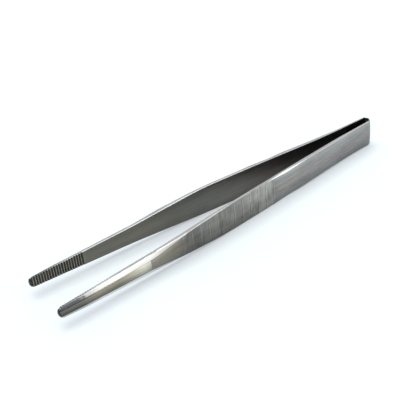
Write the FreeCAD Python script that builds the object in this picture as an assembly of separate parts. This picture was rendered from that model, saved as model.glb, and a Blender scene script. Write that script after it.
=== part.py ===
import FreeCAD, Part

import math
import os

# Thumb forceps: one strip of spring steel, folded at the butt into two arms.
# Each arm has a fluted grip on its outer face, bevelled jaws and a serrated inner face.
# The forceps are drawn with the fold at x = 0 and the tips towards +x, halves either side of
# y = 0 and z = 0, and are then turned and set down on the lower edges of the grip.
# All sizes are in millimetres and degrees.

# Overall
length = 145.0

# Fold and the run of each arm, seen from above
fold_wall = 0.8
fold_inner_radius = 0.82
fold_half_angle = 3.75
bow_at = 20.0
bow_radius = 300.0
arm_half_angle = 4.94
bend_at = 75.8
bend_radius = 200.0
jaw_half_angle = 1.93

# Thickness of the arm along its run
fold_wall_to = 8.0
grip_wall = 1.6
grip_wall_from = 42.0
grip_wall_to = 82.0
jaw_wall = 2.37
jaw_face_from = 107.5
nose_wall = 2.13
nose_from = 136.0
tip_wall = 1.58
wall_blend_radius = 250.0
nose_radius = 60.0
tip_outer_round = 0.9
tip_inner_round = 0.35

# Side outline of the strip
butt_width = 10.8
butt_corner_round = 1.2
butt_width_to = 25.0
grip_width = 11.4
grip_width_from = 50.0
grip_width_to = 75.2
neck_width = 7.15
neck_at = 104.6
tip_width = 4.0
tip_round = 1.9
edge_blend_radius = 200.0

# Narrow flats that break the strip's long edges
edge_break = 0.16
edge_break_pitch = 6.0
edge_reach = 1.0

# Bevels ground on the outer edges of the jaws
bevel_from = 91.0
bevel_full_from = 108.0
bevel_width = 1.25
upper_bevel_depth = 1.2
lower_bevel_depth = 0.2
nose_bevel_share = 0.88
tip_bevel_share = 0.7

# Short polished bevels on the outer edges behind the grip
heel_bevel_from = 35.0
heel_bevel_to = 57.5
heel_bevel_width = 0.4

# Flutes across the outer face of the grip
flute_count = 11
flute_from = 52.7
flute_pitch = 3.85
flute_radius = 10.0
flute_depth_rear = 0.30
flute_depth_front = 0.12

# Serrations across the inner face of the jaws
tooth_count = 21
tooth_pitch = 0.96
tooth_depth = 0.38
tooth_gap_width = 0.78
tooth_to_tip = 0.9

# How far a cutter reaches past what it cuts
clear = 3.0

# Share of a straight run that the arc of one of its corners may take up
run_share = 0.49
last_run_share = 0.999


def slope(angle):
    """Rise of a line per millimetre of x."""
    return math.tan(math.radians(angle))


def height_on(corners, x):
    """Height at x of the straight runs through corners, each an (x, height, radius) triple."""
    for (x0, h0, _), (x1, h1, _) in zip(corners, corners[1:]):
        if x <= x1:
            return h0 + (h1 - h0) * (x - x0) / (x1 - x0)
    return corners[-1][1]


def rounded_height_on(corners, x):
    """Height at x of the same line with its wide, shallow corners rounded."""
    height = height_on(corners, x)
    for (x0, h0, _), (x1, h1, radius), (x2, h2, _) in zip(corners, corners[1:], corners[2:]):
        turn = math.atan2(h2 - h1, x2 - x1) - math.atan2(h1 - h0, x1 - x0)
        depth = abs(radius * math.tan(turn / 2)) - abs(x - x1)
        if depth > 0:
            height += math.copysign(depth * depth / (2 * radius), turn)
    return height


def angle_on(corners, x):
    """Angle at x of the straight runs through corners."""
    for (x0, h0, _), (x1, h1, _) in zip(corners, corners[1:]):
        if x <= x1:
            return math.degrees(math.atan2(h1 - h0, x1 - x0))
    return 0.0


def rounded_path(corners):
    """Edges along corners, each an (x, y, radius) triple, with an arc at each inner corner."""
    spots = [FreeCAD.Vector(x, y, 0) for x, y, _ in corners]
    edges = []
    start = spots[0]
    for before, corner, after, (_, _, radius) in zip(spots, spots[1:], spots[2:], corners[1:]):
        back = before - corner
        ahead = after - corner
        room = run_share * min(back.Length, ahead.Length)
        if after == spots[-1]:
            room = min(run_share * back.Length, last_run_share * ahead.Length)
        half_turn = (math.pi - back.getAngle(ahead)) / 2
        reach = min(radius * math.tan(half_turn), room)
        if reach == 0:
            edges.append(Part.makeLine(start, corner))
            start = corner
            continue
        back.normalize()
        ahead.normalize()
        middle = back + ahead
        middle.normalize()
        bulge = reach / math.tan(half_turn) * (1 / math.cos(half_turn) - 1)
        arc_from = corner + back * reach
        arc_to = corner + ahead * reach
        edges.append(Part.makeLine(start, arc_from))
        edges.append(Part.Arc(arc_from, corner + middle * bulge, arc_to).toShape())
        start = arc_to
    edges.append(Part.makeLine(start, spots[-1]))
    return edges


def inner_line():
    """Inner face of the upper arm in plan: straight runs from the fold to the tip."""
    angle = math.radians(fold_half_angle)
    x0 = fold_wall + fold_inner_radius * (1 - math.sin(angle))
    y0 = fold_inner_radius * math.cos(angle)
    bow_y = y0 + (bow_at - x0) * slope(fold_half_angle)
    bend_y = bow_y + (bend_at - bow_at) * slope(arm_half_angle)
    tip_y = bend_y + (length - bend_at) * slope(jaw_half_angle)
    return [
        (x0, y0, 0.0),
        (bow_at, bow_y, bow_radius),
        (bend_at, bend_y, bend_radius),
        (length, tip_y, tip_inner_round),
    ]


def outer_line():
    """Outer face of the upper arm in plan: the inner face plus the wall at each place."""
    inner = inner_line()
    angle = math.radians(fold_half_angle)
    radius = fold_inner_radius + fold_wall
    corners = [(radius - radius * math.sin(angle), radius * math.cos(angle), 0.0)]
    walls = [
        (fold_wall_to, fold_wall / math.cos(angle), wall_blend_radius),
        (grip_wall_from, grip_wall, wall_blend_radius),
        (grip_wall_to, grip_wall, wall_blend_radius),
        (jaw_face_from, jaw_wall, 0.0),
        (nose_from, nose_wall, nose_radius),
        (length, tip_wall, tip_outer_round),
    ]
    for x, wall, rounding in walls:
        corners.append((x, height_on(inner, x) + wall, rounding))
    return corners


def edge_line():
    """Upper edge of the strip seen from the side: straight runs from the butt to the tip."""
    return [
        (0.0, butt_width / 2, butt_corner_round),
        (butt_width_to, butt_width / 2, edge_blend_radius),
        (grip_width_from, grip_width / 2, edge_blend_radius),
        (grip_width_to, grip_width / 2, edge_blend_radius),
        (neck_at, neck_width / 2, edge_blend_radius),
        (length, tip_width / 2, tip_round),
    ]


def mirrored(shape, normal):
    """The shape with its mirror image in the plane through the origin."""
    return [shape, shape.mirror(FreeCAD.Vector(0, 0, 0), normal)]


across = FreeCAD.Vector(0, 1, 0)
upward = FreeCAD.Vector(0, 0, 1)


def closed_face(half):
    """Face inside the edges of its upper half and their mirror image in y = 0."""
    edges = half + [edge.mirror(FreeCAD.Vector(0, 0, 0), across) for edge in half]
    return Part.Face(Part.Wire(Part.__sortEdges__(edges)))


def folded_strip():
    """The strip folded in plan, at one height all along."""
    inner = inner_line()
    outer = outer_line()
    half = rounded_path(outer + inner[::-1])
    turn = math.radians(90 + fold_half_angle) / 2
    centre = fold_wall + fold_inner_radius
    for radius, line in ((fold_wall + fold_inner_radius, outer), (fold_inner_radius, inner)):
        start = FreeCAD.Vector(centre - radius, 0, 0)
        middle = FreeCAD.Vector(centre - radius * math.cos(turn), radius * math.sin(turn), 0)
        end = FreeCAD.Vector(line[0][0], line[0][1], 0)
        half.append(Part.Arc(start, middle, end).toShape())
    tall = max(butt_width, grip_width) + clear
    strip = closed_face(half).extrude(upward * tall)
    strip.translate(upward * (-tall / 2))
    return strip


def side_outline():
    """Solid of the side outline, wider than the forceps, that gives the strip its edges."""
    face = closed_face(rounded_path([(0.0, 0.0, 0)] + edge_line() + [(length, 0.0, 0)]))
    face.rotate(FreeCAD.Vector(0, 0, 0), FreeCAD.Vector(1, 0, 0), 90)
    wide = 2 * height_on(outer_line(), nose_from) + clear
    outline = face.extrude(across * (2 * wide))
    outline.translate(across * (-wide))
    return outline


def flute_depth(i):
    """Depth of flute i: they grow shallower towards the jaws."""
    share = i / max(flute_count - 1, 1)
    return flute_depth_rear + share * (flute_depth_front - flute_depth_rear)


def outer_edge_size(x, depth, width):
    """Depth and width at x of the flat on an outer edge whose full jaw bevel is given."""
    bevel = [
        (bevel_from, 0.0, 0),
        (bevel_full_from, 1.0, 0),
        (nose_from, nose_bevel_share, 0),
        (length, tip_bevel_share, 0),
    ]
    heel_middle = (heel_bevel_from + heel_bevel_to) / 2
    heel = [(heel_bevel_from, 0.0, 0), (heel_middle, 1.0, 0), (heel_bevel_to, 0.0, 0)]
    share = height_on(bevel, x) if x > bevel_from else 0.0
    size = height_on(heel, x) * heel_bevel_width if heel_bevel_from < x < heel_bevel_to else 0.0
    flute = (x - flute_from) / flute_pitch - 0.5
    if 0 <= flute <= flute_count - 1:
        ridge = flute_depth(flute) - flute_pitch**2 / (8 * flute_radius)
        size = max(size, edge_break + max(ridge, 0.0))
    size = max(size, edge_break)
    return max(size, depth * share), max(size, width * share)


def edge_flat(face, side, from_x, size_at):
    """Cutter for the flat along the upper edge of a face on the given side of the strip."""
    edge = edge_line()
    sections = []
    count = math.ceil((length + clear - from_x) / edge_break_pitch)
    for i in range(count + 1):
        x = from_x + (length + clear - from_x) * i / count
        depth, width = size_at(x)
        corner = FreeCAD.Vector(x, rounded_height_on(face, x), rounded_height_on(edge, x))
        along = FreeCAD.Vector(0, side * depth, -width).normalize() * edge_reach
        away = FreeCAD.Vector(0, side * width, depth).normalize() * edge_reach
        high = corner - across * (side * depth) - along
        low = corner - upward * width + along
        sections.append(Part.makePolygon([high, low, corner + away, high]))
    return Part.makeLoft(sections, True, False)


def edge_flats():
    """Flats on the four long edges of one arm, which widen into the bevels of the jaws."""
    inner = inner_line()
    outer = outer_line()
    downward = FreeCAD.Vector(0, 0, -1)
    upper = edge_flat(outer, 1, 0.0, lambda x: outer_edge_size(x, upper_bevel_depth, bevel_width))
    lower = edge_flat(outer, 1, 0.0, lambda x: outer_edge_size(x, lower_bevel_depth, bevel_width))
    inside = edge_flat(inner, -1, inner[0][0] + edge_break, lambda x: (edge_break, edge_break))
    return [upper, lower.mirror(FreeCAD.Vector(0, 0, 0), downward)] + mirrored(inside, upward)


def flutes():
    """Round-bottomed flutes across the outer face of one grip."""
    outer = outer_line()
    tall = max(butt_width, grip_width) + clear
    cutters = []
    for i in range(flute_count):
        x = flute_from + (i + 0.5) * flute_pitch
        angle = math.radians(angle_on(outer, x))
        off = flute_radius - flute_depth(i)
        centre_x = x - off * math.sin(angle)
        centre_y = rounded_height_on(outer, x) + off * math.cos(angle)
        base = FreeCAD.Vector(centre_x, centre_y, -tall / 2)
        cutters.append(Part.makeCylinder(flute_radius, tall, base, upward))
    return cutters


def teeth_gaps():
    """V-shaped gaps between the teeth across the inner face of one jaw."""
    inner = inner_line()
    tall = neck_width + clear
    reach = tooth_depth / (tooth_gap_width / 2)
    cutters = []
    for i in range(tooth_count):
        x = length - tooth_to_tip - i * tooth_pitch
        root = FreeCAD.Vector(x, height_on(inner, x) + tooth_depth, -tall / 2)
        side = tooth_gap_width
        mouth_y = root.y - side * reach
        left = FreeCAD.Vector(x - side, mouth_y, -tall / 2)
        right = FreeCAD.Vector(x + side, mouth_y, -tall / 2)
        gap = Part.Face(Part.makePolygon([left, root, right, left]))
        cutters.append(gap.extrude(upward * tall))
    return cutters


def forceps():
    """The whole forceps, resting on the lower edges of the grip with its middle at x = 0."""
    body = folded_strip().common(side_outline()).removeSplitter()
    for cutters in (edge_flats(), flutes() + teeth_gaps()):
        both_arms = []
        for cutter in cutters:
            both_arms += mirrored(cutter, across)
        body = body.cut(both_arms)
    body.rotate(FreeCAD.Vector(0, 0, 0), upward, 180)
    body.translate(FreeCAD.Vector(length / 2, 0, grip_width / 2))
    return body.Solids[0]


os.makedirs("parts", exist_ok=True)
part = forceps()
part.exportStep("parts/forceps.step")
print("valid", part.isValid(), "volume", round(part.Volume, 1), "box", part.BoundBox)
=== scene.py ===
import math

import bpy
from mathutils import Matrix, Quaternion, Vector


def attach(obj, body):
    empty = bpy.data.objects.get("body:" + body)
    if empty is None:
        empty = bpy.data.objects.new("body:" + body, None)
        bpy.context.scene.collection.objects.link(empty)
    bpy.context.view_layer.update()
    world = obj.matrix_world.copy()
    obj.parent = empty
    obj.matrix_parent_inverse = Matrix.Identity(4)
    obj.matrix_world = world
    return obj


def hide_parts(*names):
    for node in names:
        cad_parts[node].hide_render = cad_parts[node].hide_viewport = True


# Thumb forceps: the folded steel strip as one smooth mesh over the solid of the part's source,
# with its polished bevels, satin faces and brushed butt, lying on a pale floor.
# Sizes of the strip are in millimetres and degrees, measured as in the part's source: x and s
# run from the fold to the tips, and the sections are given for one arm and used for both.

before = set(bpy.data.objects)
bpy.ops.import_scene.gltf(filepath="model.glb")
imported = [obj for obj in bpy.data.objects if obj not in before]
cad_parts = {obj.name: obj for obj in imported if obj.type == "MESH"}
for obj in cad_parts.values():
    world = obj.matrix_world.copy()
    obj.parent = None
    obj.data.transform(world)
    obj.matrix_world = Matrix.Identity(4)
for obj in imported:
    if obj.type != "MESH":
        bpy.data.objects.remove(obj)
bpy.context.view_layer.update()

MM = 0.001
LENGTH = 145.0

# Fold
FOLD_WALL = 0.68
FOLD_INNER_RADIUS = 1.4
FOLD_HALF_ANGLE = 2.05
FOLD_CENTRE = FOLD_WALL + FOLD_INNER_RADIUS

# Inner face of an arm, which opens further at the bow and less beyond the bend
BOW_AT = 20.0
BOW_RADIUS = 300.0
ARM_HALF_ANGLE = 4.94
BEND_AT = 75.8
BEND_RADIUS = 200.0
JAW_HALF_ANGLE = 1.93

# Thickness of the arm along its run
FOLD_WALL_TO = 8.0
GRIP_WALL = 1.6
GRIP_WALL_FROM = 42.0
GRIP_WALL_TO = 82.0
JAW_WALL = 2.37
JAW_FACE_FROM = 107.5
NOSE_WALL = 2.13
NOSE_FROM = 136.0
TIP_WALL = 1.58
WALL_BLEND_RADIUS = 250.0
NOSE_RADIUS = 60.0
TIP_OUTER_ROUND = 0.9
TIP_INNER_ROUND = 0.35

# Half the strip's width along its run, which is half its height as it lies
BUTT_HALF_WIDTH = 5.4
BUTT_CORNER_ROUND = 0.45
BUTT_WIDTH_TO = 25.0
GRIP_HALF_WIDTH = 5.7
GRIP_WIDTH_FROM = 50.0
GRIP_WIDTH_TO = 75.2
NECK_HALF_WIDTH = 3.575
NECK_AT = 104.6
TIP_HALF_WIDTH = 2.0
TIP_ROUND = 1.9
EDGE_BLEND_RADIUS = 200.0
REST_HEIGHT = GRIP_HALF_WIDTH

# Crown of the outer face, and the flats that break the long edges
CROWN = 0.2
BUTT_EDGE = 0.32
BUTT_EDGE_TO = 33.0
EDGE_BREAK = 0.16
EDGE_BREAK_FROM = 40.0

# Bevels ground on the outer edges of the jaws
BEVEL_FROM = 91.0
BEVEL_FULL_FROM = 108.0
BEVEL_RADIUS = 50.0
BEVEL_WIDTH = 1.25
UPPER_BEVEL_DEPTH = 1.2
LOWER_BEVEL_DEPTH = 0.2
NOSE_BEVEL_SHARE = 0.88
TIP_BEVEL_SHARE = 0.7

# Most that a flat on an inner edge, or a bevel, takes of a section's wall or half width
FLAT_OF_WALL = 0.3
FLAT_OF_HALF_WIDTH = 0.4
BEVEL_OF_HALF_WIDTH = 0.9

# Short polished bevels on the outer edges behind the grip
HEEL_BEVEL_FROM = 35.0
HEEL_BEVEL_TO = 57.5
HEEL_BEVEL_WIDTH = 0.55

# Softness of the section's corners, with the upper bevel blended into the face at the jaw's start
EDGE_SOFTNESS = 0.11
BEVEL_SOFTNESS = 0.2
BLENDED_SOFTNESS = 0.85
BLEND_FROM = 96.0
BLEND_FULL_FROM = 107.0
BLEND_FULL_TO = 113.5
BLEND_TO = 119.0

# Flutes across the outer face of the grip
FLUTE_COUNT = 11
FLUTE_FROM = 52.7
FLUTE_PITCH = 3.85
FLUTE_RADIUS = 10.0
FLUTE_DEPTH_REAR = 0.30
FLUTE_DEPTH_FRONT = 0.12
FLUTE_TO = FLUTE_FROM + FLUTE_COUNT * FLUTE_PITCH
RIDGE_HEIGHT = FLUTE_PITCH ** 2 / (8 * FLUTE_RADIUS)

# Teeth across the inner face of the jaws
TOOTH_COUNT = 21
TOOTH_PITCH = 0.96
TOOTH_DEPTH = 0.38
TOOTH_GAP_WIDTH = 0.78
TOOTH_TO_TIP = 0.9

# Where the finishes change: from the fold, from the tip and from a ridge between two flutes. The
# last of the tip is painted shade, each ridge is worn bright and holds a painted highlight, and a
# painted shadow lies beside it
HEEL_POLISH_FROM = 35.2
HEEL_POLISH_TO = 55.0
JAW_POLISH_FROM = 93.0
BUFFED_FROM = 109.2
PAINTED_SHADE_END = 0.6
WEAR_AND_HIGHLIGHT_HALF = 0.11
RIDGE_SHADOW_TO = 0.11 * FLUTE_PITCH

# Steps of the mesh along the strip, and how far the plain ones stay clear of what is finer
FOLD_STEPS = 32
ARM_FROM = 2.2
PLAIN_STEP = 1.2
FLUTE_STEPS = 10
FLUTE_CLEAR = 1.0
SHOULDER_FROM = 105.0
SHOULDER_STEP = 0.5
SHOULDER_STEPS = 10
TOOTH_CLEAR = 0.3
TIP_STEPS = 18
TIP_CLEAR = 0.004
LEAST_STEP = 0.012

# Steps of the mesh along each side of a section: inner face, upper inner flat, upper rim, upper
# bevel, outer face, lower bevel, lower rim, lower inner flat
SIDE_STEPS = [6, 1, 2, 3, 12, 1, 2, 1]
INNER_SIDE, UPPER_BEVEL, OUTER_SIDE, LOWER_BEVEL = 0, 3, 4, 5
ARC_STEPS = 4
ARC_OF_SIDE = 0.499
SHARP_ANGLE = 14.0

SATIN, POLISHED, RIM, FLUTED, WEAR_AND_HIGHLIGHT, BUFFED, PAINTED_SHADE, SHADED, RIDGE_SHADOW = range(9)


def height_on(corners, x):
    """Height at x of straight runs with shallow rounded corners, each an (x, height, radius)."""
    height = corners[-1][1]
    for (x0, h0, _), (x1, h1, _) in zip(corners, corners[1:]):
        if x <= x1:
            height = h0 + (h1 - h0) * (x - x0) / (x1 - x0)
            break
    for (x0, h0, _), (x1, h1, radius), (x2, h2, _) in zip(corners, corners[1:], corners[2:]):
        turn = math.atan2(h2 - h1, x2 - x1) - math.atan2(h1 - h0, x1 - x0)
        depth = abs(radius * math.tan(turn / 2)) - abs(x - x1)
        if depth > 0:
            height += math.copysign(depth * depth / (2 * radius), turn)
    return height


def plain_runs(points):
    """Straight runs with sharp corners through (x, height) points."""
    return [(x, height, 0) for x, height in points]


def slope(angle):
    """Rise for each millimetre along, at an angle in degrees."""
    return math.tan(math.radians(angle))


def inner_corners():
    """Corners of the inner face in plan, with heights from the mid-plane between the arms."""
    angle = math.radians(FOLD_HALF_ANGLE)
    start_x = FOLD_CENTRE - FOLD_INNER_RADIUS * math.sin(angle)
    start_y = FOLD_INNER_RADIUS * math.cos(angle)
    bow_y = start_y + (BOW_AT - start_x) * slope(FOLD_HALF_ANGLE)
    bend_y = bow_y + (BEND_AT - BOW_AT) * slope(ARM_HALF_ANGLE)
    tip_y = bend_y + (LENGTH - BEND_AT) * slope(JAW_HALF_ANGLE)
    return [
        (start_x, start_y, 0),
        (BOW_AT, bow_y, BOW_RADIUS),
        (BEND_AT, bend_y, BEND_RADIUS),
        (LENGTH, tip_y, 0),
    ]


INNER = inner_corners()


def outer_corners():
    """Corners of the outer face in plan, each at its wall beyond the inner face."""
    angle = math.radians(FOLD_HALF_ANGLE)
    walls = [
        (FOLD_WALL_TO, FOLD_WALL / math.cos(angle), WALL_BLEND_RADIUS),
        (GRIP_WALL_FROM, GRIP_WALL, WALL_BLEND_RADIUS),
        (GRIP_WALL_TO, GRIP_WALL, WALL_BLEND_RADIUS),
        (JAW_FACE_FROM, JAW_WALL, NOSE_RADIUS),
        (NOSE_FROM, NOSE_WALL, NOSE_RADIUS),
        (LENGTH, TIP_WALL, 0),
    ]
    plain_inner = plain_runs([(x, y) for x, y, _ in INNER])
    corners = [(FOLD_CENTRE * (1 - math.sin(angle)), FOLD_CENTRE * math.cos(angle), 0)]
    for x, wall, radius in walls:
        corners.append((x, height_on(plain_inner, x) + wall, radius))
    return corners


OUTER = outer_corners()
HALF_WIDTHS = [
    (0.0, BUTT_HALF_WIDTH, 0),
    (BUTT_WIDTH_TO, BUTT_HALF_WIDTH, EDGE_BLEND_RADIUS),
    (GRIP_WIDTH_FROM, GRIP_HALF_WIDTH, EDGE_BLEND_RADIUS),
    (GRIP_WIDTH_TO, GRIP_HALF_WIDTH, EDGE_BLEND_RADIUS),
    (NECK_AT, NECK_HALF_WIDTH, EDGE_BLEND_RADIUS),
    (LENGTH, TIP_HALF_WIDTH, 0),
]
EDGE_FLATS = plain_runs([
    (0.0, BUTT_EDGE),
    (BUTT_EDGE_TO, BUTT_EDGE),
    (EDGE_BREAK_FROM, EDGE_BREAK),
    (LENGTH, EDGE_BREAK),
])
HEEL_BEVEL_SHARES = plain_runs([
    (HEEL_BEVEL_FROM, 0.0),
    ((HEEL_BEVEL_FROM + HEEL_BEVEL_TO) / 2, 1.0),
    (HEEL_BEVEL_TO, 0.0),
    (LENGTH, 0.0),
])
BEVEL_SHARES = [
    (BEVEL_FROM, 0.0, 0),
    (BEVEL_FULL_FROM, 1.0, BEVEL_RADIUS),
    (NOSE_FROM, NOSE_BEVEL_SHARE, 0),
    (LENGTH, TIP_BEVEL_SHARE, 0),
]
BLEND_SHARES = plain_runs([
    (BLEND_FROM, 0.0),
    (BLEND_FULL_FROM, 1.0),
    (BLEND_FULL_TO, 1.0),
    (BLEND_TO, 0.0),
    (LENGTH, 0.0),
])


def share_on(shares, x):
    """Share at x, which is none before the first corner."""
    return max(height_on(shares, x), 0.0)


def flute_place(i):
    """Middle of a flute, counted from the fold."""
    return FLUTE_FROM + (i + 0.5) * FLUTE_PITCH


def flute_depth(i):
    """Depth of a flute, less towards the tips."""
    return FLUTE_DEPTH_REAR + i / (FLUTE_COUNT - 1) * (FLUTE_DEPTH_FRONT - FLUTE_DEPTH_REAR)


def flute_at(x):
    """Depth of the flutes at x below the outer face."""
    depth = 0.0
    for i in range(FLUTE_COUNT):
        depth = max(depth, flute_depth(i) - (x - flute_place(i)) ** 2 / (2 * FLUTE_RADIUS))
    return depth


def tooth_root(i):
    """Middle of a gap between teeth, counted from the tip."""
    return LENGTH - TOOTH_TO_TIP - i * TOOTH_PITCH


def tooth_gap_at(x):
    """Depth of the gaps between the teeth at x above the inner face."""
    depth = 0.0
    for i in range(TOOTH_COUNT):
        depth = max(depth, TOOTH_DEPTH * (1 - abs(x - tooth_root(i)) / (TOOTH_GAP_WIDTH / 2)))
    return depth


def edge_size(x):
    """Size at x of the flat that breaks an outer edge, which grows along the flutes and heel."""
    size = height_on(EDGE_FLATS, x)
    place = (x - FLUTE_FROM) / FLUTE_PITCH - 0.5
    if 0 <= place <= FLUTE_COUNT - 1:
        size += max(flute_depth(place) - RIDGE_HEIGHT, 0.0)
    return max(size, HEEL_BEVEL_WIDTH * share_on(HEEL_BEVEL_SHARES, x))


def bevel_softness(x):
    """Softness at x of the corner between the upper bevel and the outer face."""
    soft = EDGE_SOFTNESS + (BEVEL_SOFTNESS - EDGE_SOFTNESS) * share_on(BEVEL_SHARES, x)
    return soft + (BLENDED_SOFTNESS - soft) * share_on(BLEND_SHARES, x)


def round_off(radius, x):
    """How far a corner rounded at the tip has turned in at x."""
    past = x - (LENGTH - radius)
    if past <= 0:
        return 0.0
    return radius - math.sqrt(max(radius * radius - past * past, 0.0))


def inner_finish(s):
    """Finish of the inner face, painted shade on the side of each tooth that faces the tips."""
    from_root = (tooth_root(0) - s + TOOTH_PITCH / 2) % TOOTH_PITCH - TOOTH_PITCH / 2
    return PAINTED_SHADE if tooth_gap_at(s) > 0 and from_root > 0 else SHADED


def outer_finish(s):
    """Finish of the outer face: satin, fluted with ridges that are worn bright and carry a
    painted highlight, a painted shadow beside each, then buffed.
    """
    place = (s - FLUTE_FROM) / FLUTE_PITCH
    if 0 < place < FLUTE_COUNT:
        from_ridge = (place - round(place)) * FLUTE_PITCH
        if abs(from_ridge) < WEAR_AND_HIGHLIGHT_HALF:
            return WEAR_AND_HIGHLIGHT
        return RIDGE_SHADOW if 0 < from_ridge < RIDGE_SHADOW_TO else FLUTED
    return BUFFED if s > BUFFED_FROM else SATIN


def bevel_finish(s):
    """Finish of the bevels, polished at the heel and at the jaws."""
    if s > JAW_POLISH_FROM or HEEL_POLISH_FROM < s < HEEL_POLISH_TO:
        return POLISHED
    return FLUTED if s > HEEL_POLISH_TO else RIM


def finish_at(s, side):
    """Finish of one side of the section at s from the fold."""
    # The end of the tip is painted shade
    if s > LENGTH - PAINTED_SHADE_END:
        return PAINTED_SHADE
    if side == INNER_SIDE:
        return inner_finish(s)
    if side == OUTER_SIDE:
        return outer_finish(s)
    if side in (UPPER_BEVEL, LOWER_BEVEL):
        return bevel_finish(s)
    return RIM


def arc_points(back, corner, ahead):
    """Points of a soft arc from back to ahead that stays inside the corner between them."""
    points = []
    for i in range(ARC_STEPS + 1):
        t = i / ARC_STEPS
        points.append(back * (1 - t) ** 2 + corner * (2 * t * (1 - t)) + ahead * t ** 2)
    return points


def section_points(wall, half, upper, lower, flat, softness=EDGE_SOFTNESS):
    """Points of a section and the side that each starts: x across the wall from the inner face,
    y up from its middle. Each bevel is a depth and a width, and flat is for the inner edges."""
    corners = [
        (0.0, flat - half),
        (0.0, half - flat),
        (flat, half),
        (wall - upper[0], half),
        (wall, half - upper[1]),
        (wall, lower[1] - half),
        (wall - lower[0], -half),
        (flat, -half),
    ]
    corners = [Vector(corner) for corner in corners]
    count = len(corners)
    lengths = [(corners[(k + 1) % count] - corners[k]).length for k in range(count)]
    arcs = []
    for k, corner in enumerate(corners):
        soft = softness if k == OUTER_SIDE else EDGE_SOFTNESS
        reach = min(soft, ARC_OF_SIDE * lengths[k - 1], ARC_OF_SIDE * lengths[k])
        back = corner + (corners[k - 1] - corner).normalized() * reach
        ahead = corner + (corners[(k + 1) % count] - corner).normalized() * reach
        arcs.append(arc_points(back, corner, ahead))
    points = []
    sides = []
    for k in range(count):
        points += arcs[k]
        sides += [(k - 1) % count if i < ARC_STEPS / 2 else k for i in range(ARC_STEPS)]
        start = arcs[k][-1]
        end = arcs[(k + 1) % count][0]
        for i in range(1, SIDE_STEPS[k]):
            points.append(start.lerp(end, i / SIDE_STEPS[k]))
        sides += [k] * SIDE_STEPS[k]
    return points, sides


def crown_at(point, wall, half):
    """How far the outer half of a section falls away at a point towards its long edges."""
    return CROWN * (point.y / half) ** 2 if point.x > 0.5 * wall else 0.0


def in_frame(x, y, z):
    """Point of the frame, in metres, from x along the strip, y from its mid-plane between the
    arms and z from its middle height."""
    return Vector((LENGTH / 2 - x, y, z + REST_HEIGHT)) * MM


def arm_ring(x, arm):
    """Section of an arm at x: its points, their sides and its place along the strip. The front
    arm is -1 and the rear arm is 1."""
    inner = height_on(INNER, x) + round_off(TIP_INNER_ROUND, x)
    outer_in = round_off(TIP_OUTER_ROUND, x)
    half_in = round_off(TIP_ROUND, x)
    wall = height_on(OUTER, x) - outer_in - inner
    half = height_on(HALF_WIDTHS, x) - half_in
    flat = min(EDGE_BREAK, FLAT_OF_WALL * wall, FLAT_OF_HALF_WIDTH * half)
    size = edge_size(x)
    share = share_on(BEVEL_SHARES, x)
    width = max(size, BEVEL_WIDTH * share)
    bevels = []
    for full_depth in (UPPER_BEVEL_DEPTH, LOWER_BEVEL_DEPTH):
        depth = max(size, full_depth * share)
        cut_depth = max(depth * (1 - half_in / width) - outer_in, flat)
        cut_width = max(width * (1 - outer_in / depth) - half_in, flat)
        bevels.append((cut_depth, min(cut_width, BEVEL_OF_HALF_WIDTH * half)))
    points, sides = section_points(wall, half, *bevels, flat, bevel_softness(x))
    fluted = wall - flute_at(x)
    gap = tooth_gap_at(x)
    ring = []
    for point in points:
        out = max(min(point.x - crown_at(point, wall, half), fluted), gap)
        ring.append(in_frame(x, arm * (inner + out), point.y))
    return ring, sides, arm * x


def fold_ring(angle):
    """Section of the fold, as arm_ring gives it, at an angle from straight behind its centre."""
    bevel = (BUTT_EDGE, BUTT_EDGE)
    points, sides = section_points(FOLD_WALL, BUTT_HALF_WIDTH, bevel, bevel, EDGE_BREAK)
    turn = math.radians(angle)
    ring = []
    for point in points:
        reach = FOLD_INNER_RADIUS + point.x - crown_at(point, FOLD_WALL, BUTT_HALF_WIDTH)
        x = FOLD_CENTRE - reach * math.cos(turn)
        past = max(BUTT_CORNER_ROUND - x, 0.0)
        drop = BUTT_CORNER_ROUND - math.sqrt(max(BUTT_CORNER_ROUND ** 2 - past ** 2, 0.0))
        z = point.y * (1 - drop / BUTT_HALF_WIDTH)
        ring.append(in_frame(x, reach * math.sin(turn), z))
    return ring, sides, FOLD_CENTRE * turn


def arm_places():
    """Places of the sections along an arm, close together where its shape changes fast."""
    plain_to = tooth_root(TOOTH_COUNT - 1) - TOOTH_GAP_WIDTH / 2 - TOOTH_CLEAR
    plain_count = math.ceil((plain_to - ARM_FROM) / PLAIN_STEP)
    places = [ARM_FROM + i * PLAIN_STEP for i in range(plain_count)]
    places = [x for x in places if not FLUTE_FROM - FLUTE_CLEAR < x < FLUTE_TO + FLUTE_CLEAR]
    for i in range(FLUTE_COUNT):
        start = FLUTE_FROM + i * FLUTE_PITCH
        places += [start + j / FLUTE_STEPS * FLUTE_PITCH for j in range(FLUTE_STEPS + 1)]
        places += [start + WEAR_AND_HIGHLIGHT_HALF, start + FLUTE_PITCH - WEAR_AND_HIGHLIGHT_HALF]
    for i in range(TOOTH_COUNT):
        root = tooth_root(i)
        places += [root - TOOTH_GAP_WIDTH / 2, root, root + TOOTH_GAP_WIDTH / 2]
    for i in range(TIP_STEPS + 1):
        reach = TIP_ROUND * (1 - math.sin(math.pi / 2 * i / TIP_STEPS))
        places.append(LENGTH - TIP_CLEAR - reach)
    places += [BEVEL_FROM, BUFFED_FROM, NOSE_FROM]
    places += [SHOULDER_FROM + SHOULDER_STEP * i for i in range(SHOULDER_STEPS + 1)]
    places.sort()
    kept = [places[0]]
    for x in places[1:]:
        if x - kept[-1] > LEAST_STEP:
            kept.append(x)
    return kept


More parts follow.
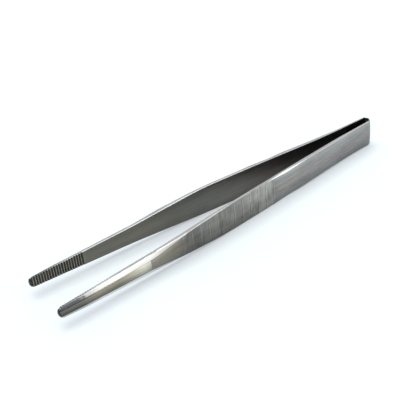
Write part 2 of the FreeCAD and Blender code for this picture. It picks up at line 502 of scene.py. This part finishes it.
def strip_rings():
    """Sections of the strip, from the front tip round the fold to the rear tip."""
    places = arm_places()
    end = 90.0 - FOLD_HALF_ANGLE
    rings = [arm_ring(x, -1) for x in reversed(places)]
    rings += [fold_ring(-end + 2 * end * i / FOLD_STEPS) for i in range(FOLD_STEPS + 1)]
    rings += [arm_ring(x, 1) for x in places]
    return rings


def around_lengths(ring):
    """Length round a section to each of its points, in millimetres, and once right round."""
    lengths = [0.0]
    for point, after in zip(ring, ring[1:] + ring[:1]):
        lengths.append(lengths[-1] + (after - point).length / MM)
    return lengths


FOLD_SECTION, FOLD_SIDES, _ = fold_ring(0.0)
AROUND = around_lengths(FOLD_SECTION)
OUTER_AROUND = [length for length, side in zip(AROUND, FOLD_SIDES) if side == OUTER_SIDE]
OUTER_SPAN = (min(OUTER_AROUND), max(OUTER_AROUND))


def strip_mesh(rings):
    """Faces between the sections and over both tips, each with its finish."""
    count = len(FOLD_SECTION)
    vertices = [point for ring, _, _ in rings for point in ring]
    faces = []
    finishes = []
    for r in range(len(rings) - 1):
        middle = abs(rings[r][2] + rings[r + 1][2]) / 2
        this = r * count
        following = this + count
        for k in range(count):
            after = (k + 1) % count
            faces.append((this + k, following + k, following + after, this + after))
            finishes.append(finish_at(middle, rings[r][1][k]))
    faces.append(tuple(range(count)))
    faces.append(tuple(reversed(range(len(vertices) - count, len(vertices)))))
    finishes += [SATIN, SATIN]
    mesh = bpy.data.meshes.new("forceps_strip")
    mesh.from_pydata(vertices, [], faces)
    mesh.polygons.foreach_set("material_index", finishes)
    mesh.polygons.foreach_set("use_smooth", [True] * len(faces))
    mesh.validate()
    mesh.update()
    mesh.set_sharp_from_angle(angle=math.radians(SHARP_ANGLE))
    return mesh


def map_run(mesh, rings):
    """Lay the mesh out along the strip and round it, in millimetres."""
    run_map = mesh.uv_layers.new(name="run")
    count = len(FOLD_SECTION)
    side_faces = (len(rings) - 1) * count
    for polygon in mesh.polygons:
        closes_ring = polygon.index < side_faces and polygon.index % count == count - 1
        for loop, vertex in zip(polygon.loop_indices, polygon.vertices):
            r, k = divmod(vertex, count)
            run_map.data[loop].uv = (rings[r][2], AROUND[count if closes_ring and k == 0 else k])


def build_strip():
    """The strip as one object, its normals weighted so that its flat faces stay flat."""
    rings = strip_rings()
    mesh = strip_mesh(rings)
    map_run(mesh, rings)
    strip = bpy.data.objects.new("forceps_strip", mesh)
    bpy.context.scene.collection.objects.link(strip)
    normals = strip.modifiers.new("face_normals", "WEIGHTED_NORMAL")
    normals.keep_sharp = True
    return strip


def new_material(name):
    material = bpy.data.materials.new(name)
    material.use_nodes = True
    tree = material.node_tree
    shader = tree.nodes["Principled BSDF"]
    return material, tree, shader


def add(tree, kind, **settings):
    node = tree.nodes.new(kind)
    for name, value in settings.items():
        setattr(node, name, value)
    return node


def noise_on_run(tree, along, across):
    """Noise over the strip with so many changes per millimetre along it and across it."""
    coordinates = add(tree, "ShaderNodeUVMap", uv_map="run")
    mapping = add(tree, "ShaderNodeMapping")
    mapping.inputs["Scale"].default_value = (along, across, 1.0)
    noise = add(tree, "ShaderNodeTexNoise")
    noise.inputs["Scale"].default_value = 1.0
    tree.links.new(coordinates.outputs["UV"], mapping.inputs["Vector"])
    tree.links.new(mapping.outputs["Vector"], noise.inputs["Vector"])
    return noise.outputs["Fac"]


def place_on_run(tree):
    """Place on the strip, in millimetres: X along it, negative on the front arm, Y round it."""
    coordinates = add(tree, "ShaderNodeUVMap", uv_map="run")
    parts = add(tree, "ShaderNodeSeparateXYZ")
    tree.links.new(coordinates.outputs["UV"], parts.inputs["Vector"])
    return parts.outputs


def ramp(tree, source, stops):
    """Colour from (share, colour) stops."""
    node = add(tree, "ShaderNodeValToRGB")
    elements = node.color_ramp.elements
    for element, (share, colour) in zip(elements, (stops[0], stops[-1])):
        element.position = share
        element.color = (*colour, 1)
    for share, colour in stops[1:-1]:
        elements.new(share).color = (*colour, 1)
    tree.links.new(source, node.inputs["Fac"])
    return node.outputs["Color"]


def spread(tree, source, source_range, result_range=(0.0, 1.0)):
    """Value that goes through the result's range as the source goes through its own."""
    node = add(tree, "ShaderNodeMapRange")
    node.inputs["From Min"].default_value, node.inputs["From Max"].default_value = source_range
    node.inputs["To Min"].default_value, node.inputs["To Max"].default_value = result_range
    tree.links.new(source, node.inputs["Value"])
    return node.outputs["Result"]


def product(tree, first, second):
    """Product of two colours."""
    node = add(tree, "ShaderNodeVectorMath", operation="MULTIPLY")
    tree.links.new(first, node.inputs[0])
    tree.links.new(second, node.inputs[1])
    return node.outputs["Vector"]


def mean_of(tree, first, second):
    """Mean of two values."""
    both = add(tree, "ShaderNodeMath", operation="ADD")
    tree.links.new(first, both.inputs[0])
    tree.links.new(second, both.inputs[1])
    half = add(tree, "ShaderNodeMath", operation="DIVIDE")
    half.inputs[1].default_value = 2.0
    tree.links.new(both.outputs["Value"], half.inputs[0])
    return half.outputs["Value"]


def tone_and_painted_light_along(tree, stops):
    """Tone along the strip, partly the finish and partly painted shade and highlights, the same
    on both arms, from (mm from the fold, colour) stops.
    """
    distance = add(tree, "ShaderNodeMath", operation="ABSOLUTE")
    tree.links.new(place_on_run(tree)["X"], distance.inputs[0])
    share = spread(tree, distance.outputs["Value"], (0.0, LENGTH))
    return ramp(tree, share, [(s / LENGTH, tone) for s, tone in stops])


def painted_shade_across(tree, stops):
    """Painted shade across the outer face, from (share of its height from the top, colour) stops.
    """
    share = spread(tree, place_on_run(tree)["Y"], OUTER_SPAN)
    return ramp(tree, share, stops)


# Patches per millimetre along the strip and across it, and the relief of the streaks in metres
PATCHES = (0.10, 0.30)
STREAK_RELIEF = 0.00002

# Ranges of the noise over which the colour and the roughness change
COLOUR_RANGE = (0.35, 0.65)
ROUGH_RANGE = (0.3, 0.7)


def steel(name, dark, light, rough, streaks, bump, tones, across):
    """Steel between two colours and two roughnesses, in patches and in streaks of so many per
    millimetre along and across the strip, with tones along the strip that hold painted shade and
    highlights, and painted shade across its face."""
    material, tree, shader = new_material(name)
    streak = noise_on_run(tree, *streaks)
    wear = mean_of(tree, streak, noise_on_run(tree, *PATCHES))
    colour = ramp(tree, wear, list(zip(COLOUR_RANGE, (dark, light))))
    toned_and_lit = product(tree, colour, tone_and_painted_light_along(tree, tones))
    shaded = product(tree, toned_and_lit, painted_shade_across(tree, across))
    tree.links.new(shaded, shader.inputs["Base Color"])
    tree.links.new(spread(tree, wear, ROUGH_RANGE, rough), shader.inputs["Roughness"])
    relief = add(tree, "ShaderNodeBump")
    relief.inputs["Strength"].default_value = bump
    relief.inputs["Distance"].default_value = STREAK_RELIEF
    tree.links.new(streak, relief.inputs["Height"])
    tree.links.new(relief.outputs["Normal"], shader.inputs["Normal"])
    shader.inputs["Metallic"].default_value = 1.0
    return material


# Tones along the strip: bright and cool at the butt, duller and warmer towards the jaws. They
# also hold painted shade and painted highlights along the strip.
SATIN_TONE_AND_LIGHT = [
    (0, (0.84, 0.85, 0.86)),
    (22, (0.99, 0.99, 1.0)),
    (50, (0.97, 0.97, 0.97)),
    (58, (0.60, 0.58, 0.52)),
    (96, (0.60, 0.58, 0.51)),
    (103, (0.80, 0.77, 0.66)),
    (LENGTH, (0.80, 0.77, 0.66)),
]
# Painted shade: the rims darken towards the tips
RIM_TIP_SHADE = [
    (0, (1.0, 1.0, 1.0)),
    (130, (0.98, 0.97, 0.95)),
    (136, (0.64, 0.63, 0.61)),
    (141, (0.36, 0.355, 0.34)),
    (LENGTH, (0.28, 0.275, 0.26)),
]
# Painted highlights on the polished bevels at the heel and at the start of the jaws, painted
# shade before the jaws and towards the tips
POLISHED_PAINTED_LIGHT = [
    (0, (0.48, 0.49, 0.50)),
    (35, (0.48, 0.49, 0.50)),
    (40, (1.0, 1.0, 1.0)),
    (60, (1.0, 1.0, 1.0)),
    (92, (0.45, 0.45, 0.44)),
    (103, (0.78, 0.78, 0.76)),
    (109, (1.0, 1.0, 1.0)),
    (129, (1.0, 1.0, 1.0)),
    (133, (0.74, 0.74, 0.76)),
    (LENGTH, (0.60, 0.60, 0.62)),
]
FLUTED_TONE_AND_LIGHT = [
    (0, (0.84, 0.83, 0.82)),
    (58, (0.92, 0.91, 0.90)),
    (68, (0.66, 0.65, 0.65)),
    (79, (0.56, 0.55, 0.53)),
    (89, (0.37, 0.37, 0.37)),
    (95, (0.52, 0.50, 0.47)),
    (LENGTH, (0.52, 0.50, 0.47)),
]
# Painted shadow beside each ridge of the flutes
RIDGE_SHADOW_TONES = [
    (0, (0.46, 0.45, 0.43)),
    (60, (0.45, 0.44, 0.42)),
    (70, (0.36, 0.35, 0.33)),
    (80, (0.44, 0.43, 0.42)),
    (89, (0.37, 0.37, 0.36)),
    (LENGTH, (0.45, 0.44, 0.42)),
]
# Painted highlight where the buffed face starts, painted shade growing towards the tips
BUFFED_PAINTED_LIGHT = [
    (108, (0.72, 0.72, 0.70)),
    (112, (1.0, 0.99, 0.95)),
    (117, (0.72, 0.70, 0.64)),
    (122, (0.43, 0.41, 0.36)),
    (130, (0.45, 0.42, 0.39)),
    (137, (0.25, 0.245, 0.235)),
    (LENGTH, (0.21, 0.205, 0.195)),
]
# Painted shade along the inner faces, lifted at the teeth as a painted highlight on their tops
INNER_PAINTED_LIGHT = [
    (0, (0.55, 0.55, 0.54)),
    (17, (0.50, 0.50, 0.50)),
    (38, (0.42, 0.38, 0.38)),
    (49, (0.62, 0.56, 0.56)),
    (61, (0.80, 0.76, 0.75)),
    (74, (0.77, 0.75, 0.76)),
    (87, (0.69, 0.66, 0.61)),
    (99, (0.73, 0.70, 0.64)),
    (124, (0.71, 0.67, 0.60)),
    (125.5, (1.40, 1.33, 1.17)),
    (LENGTH, (1.40, 1.33, 1.17)),
]
EVEN_TONES = [(0, (1.0, 1.0, 1.0)), (LENGTH, (0.98, 0.97, 0.95))]

# Painted shade across the outer face, darker from its top down
EVEN_ACROSS = [(0.0, (1.0, 1.0, 1.0)), (1.0, (0.99, 0.99, 0.99))]
BLADE_SHADE_ACROSS = [
    (0.0, (0.86, 0.89, 0.90)),
    (0.2, (0.74, 0.75, 0.75)),
    (0.5, (0.72, 0.70, 0.68)),
    (0.7, (0.69, 0.68, 0.67)),
    (0.85, (0.67, 0.69, 0.71)),
    (1.0, (0.60, 0.63, 0.66)),
]
GRIP_SHADE_ACROSS = [
    (0.0, (0.96, 0.98, 1.0)),
    (0.3, (0.86, 0.85, 0.84)),
    (0.7, (0.79, 0.78, 0.77)),
    (1.0, (0.66, 0.67, 0.69)),
]
BUFFED_SHADE_ACROSS = [
    (0.0, (1.0, 1.0, 0.98)),
    (0.25, (0.90, 0.89, 0.85)),
    (0.6, (0.64, 0.63, 0.60)),
    (1.0, (0.41, 0.42, 0.42)),
]

# Streaks per millimetre along and across: brushed along the strip, or ground across the grip
BRUSHED = (0.03, 2.2)
FINELY_BRUSHED = (0.05, 3.0)
GROUND = (0.5, 0.15)

FLUTE_STEEL = {
    "dark": (0.30, 0.285, 0.262),
    "light": (0.58, 0.552, 0.508),
    "rough": (0.24, 0.38),
    "streaks": GROUND,
    "bump": 0.4,
    "across": GRIP_SHADE_ACROSS,
}


def finishes_in_order():
    """Materials of the strip, in the order of the finishes' numbers."""
    return [
        steel(
            "satin_steel", (0.34, 0.316, 0.298), (0.51, 0.477, 0.454), rough=(0.22, 0.34),
            streaks=BRUSHED, bump=0.25, tones=SATIN_TONE_AND_LIGHT, across=BLADE_SHADE_ACROSS,
        ),
        steel(
            "polished_steel", (0.86, 0.85, 0.82), (0.92, 0.91, 0.88), rough=(0.06, 0.12),
            streaks=FINELY_BRUSHED, bump=0.05, tones=POLISHED_PAINTED_LIGHT, across=EVEN_ACROSS,
        ),
        steel(
            "rim_steel", (0.42, 0.42, 0.42), (0.50, 0.50, 0.50), rough=(0.22, 0.30),
            streaks=FINELY_BRUSHED, bump=0.1, tones=RIM_TIP_SHADE, across=EVEN_ACROSS,
        ),
        steel("fluted_steel", tones=FLUTED_TONE_AND_LIGHT, **FLUTE_STEEL),
        # Ridges worn bright, their light colour also a painted highlight
        steel(
            "wear_and_highlight_steel", (0.40, 0.393, 0.375), (0.88, 0.865, 0.84), rough=(0.20, 0.30),
            streaks=(0.45, 0.25), bump=0.2, tones=FLUTED_TONE_AND_LIGHT, across=GRIP_SHADE_ACROSS,
        ),
        steel(
            "buffed_steel", (0.655, 0.610, 0.527), (0.85, 0.793, 0.698), rough=(0.22, 0.32),
            streaks=BRUSHED, bump=0.15, tones=BUFFED_PAINTED_LIGHT, across=BUFFED_SHADE_ACROSS,
        ),
        # Painted shade: near-black steel on one flank of each tooth gap and at the end of the tip
        steel(
            "painted_shade_steel", (0.039, 0.0375, 0.032), (0.080, 0.077, 0.066), rough=(0.34, 0.46),
            streaks=(0.2, 1.5), bump=0.3, tones=EVEN_TONES, across=EVEN_ACROSS,
        ),
        # Painted shade: the inner faces are darker than bare steel
        steel(
            "inner_painted_shade_steel", (0.19, 0.183, 0.163), (0.26, 0.253, 0.231), rough=(0.32, 0.44),
            streaks=(0.05, 1.4), bump=0.25, tones=INNER_PAINTED_LIGHT, across=EVEN_ACROSS,
        ),
        # Painted shadow beside each ridge
        steel("ridge_shadow_steel", tones=RIDGE_SHADOW_TONES, **FLUTE_STEEL),
    ]


strip = build_strip()
for finish in finishes_in_order():
    strip.data.materials.append(finish)
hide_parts("forceps")
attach(strip, "root")

# Floor, its size in metres, with a little light of its own where the camera sees it
FLOOR_SIZE = 6.0
FLOOR_COLOUR = (0.80, 0.885, 0.94, 1)
FLOOR_ROUGHNESS = 0.8
FLOOR_SHINE = 0.1
FLOOR_GLOW = 0.28


def floor_material():
    material, tree, shader = new_material("floor_white")
    shader.inputs["Base Color"].default_value = FLOOR_COLOUR
    shader.inputs["Roughness"].default_value = FLOOR_ROUGHNESS
    shader.inputs["Specular IOR Level"].default_value = FLOOR_SHINE
    glow = add(tree, "ShaderNodeEmission")
    path = add(tree, "ShaderNodeLightPath")
    seen = add(tree, "ShaderNodeMath", operation="MULTIPLY")
    seen.inputs[1].default_value = FLOOR_GLOW
    tree.links.new(path.outputs["Is Camera Ray"], seen.inputs[0])
    blend = add(tree, "ShaderNodeMixShader")
    tree.links.new(seen.outputs["Value"], blend.inputs["Fac"])
    tree.links.new(shader.outputs["BSDF"], blend.inputs[1])
    tree.links.new(glow.outputs["Emission"], blend.inputs[2])
    tree.links.new(blend.outputs["Shader"], tree.nodes["Material Output"].inputs["Surface"])
    return material


bpy.ops.mesh.primitive_plane_add(size=FLOOR_SIZE, location=(0, 0, 0))
floor = bpy.context.object
floor.name = "floor"
floor.data.materials.append(floor_material())


def direction(turn, rise):
    """Direction at a turn from straight in front towards +x, and a rise above the floor."""
    turn = math.radians(turn)
    rise = math.radians(rise)
    level = math.cos(rise)
    return Vector((math.sin(turn) * level, -math.cos(turn) * level, math.sin(rise)))


# Soft boxes a metre from the middle of the part: sizes in metres, power in watts
LIGHT_DISTANCE = 1.0


def soft_box(name, turn, rise, size, power, colour, roll=0.0):
    """Light that faces the middle of the part, rolled about its own axis."""
    light = bpy.data.lights.new(name, "AREA")
    light.shape = "RECTANGLE"
    light.size, light.size_y = size
    light.energy = power
    light.color = colour
    lamp = bpy.data.objects.new(name, light)
    lamp.location = direction(turn, rise) * LIGHT_DISTANCE
    aimed = (-lamp.location).to_track_quat("-Z", "Y")
    lamp.rotation_euler = (aimed @ Quaternion((0, 0, 1), math.radians(roll))).to_euler()
    bpy.context.scene.collection.objects.link(lamp)


soft_box("top_box", 180.0, 83.0, (0.95, 0.9), 9.0, (1.0, 0.985, 0.96))
soft_box("front_box", 42.0, 28.0, (0.758, 1.24), 2.85, (1.0, 0.985, 0.93), roll=-14.7)

# Room: dark in front, pale behind
ROOM_PALE_SIDE = Vector((0.5, 0.8, 0.3)).normalized()
ROOM_SPAN = (-0.3, 0.6)
ROOM_SHADES = [(0.0, (0.07, 0.08, 0.10)), (1.0, (0.80, 0.84, 0.875))]

world = bpy.data.worlds.new("studio")
world.use_nodes = True
room = world.node_tree
looked_at = add(room, "ShaderNodeTexCoord")
behind = add(room, "ShaderNodeVectorMath", operation="DOT_PRODUCT")
behind.inputs[1].default_value = ROOM_PALE_SIDE
room.links.new(looked_at.outputs["Generated"], behind.inputs[0])
shade = ramp(room, spread(room, behind.outputs["Value"], ROOM_SPAN), ROOM_SHADES)
room.links.new(shade, room.nodes["Background"].inputs["Color"])
bpy.context.scene.world = world

# Camera, aimed at a point given in millimetres in the frame
AZIMUTH = -32.52
ELEVATION = 36.446
ROLL = -6.287
DISTANCE = 348.268
TARGET = Vector((-8.275, -0.039, 12.86))
SENSOR_WIDTH = 36.0
FOCAL_LENGTH = 89.9
NEAREST = 0.01

back = direction(AZIMUTH, ELEVATION)
level_right = Vector((0, 0, 1)).cross(back).normalized()
level_up = back.cross(level_right)
roll = math.radians(ROLL)
right = level_right * math.cos(roll) + level_up * math.sin(roll)
up = level_up * math.cos(roll) - level_right * math.sin(roll)
facing = Matrix((right, up, back)).transposed().to_4x4()
lens = bpy.data.cameras.new("camera")
lens.sensor_width = SENSOR_WIDTH
lens.lens = FOCAL_LENGTH
lens.clip_start = NEAREST
camera = bpy.data.objects.new("camera", lens)
camera.matrix_world = Matrix.Translation((TARGET + back * DISTANCE) * MM) @ facing
bpy.context.scene.collection.objects.link(camera)
bpy.context.scene.camera = camera
bpy.context.scene.view_settings.view_transform = "Standard"
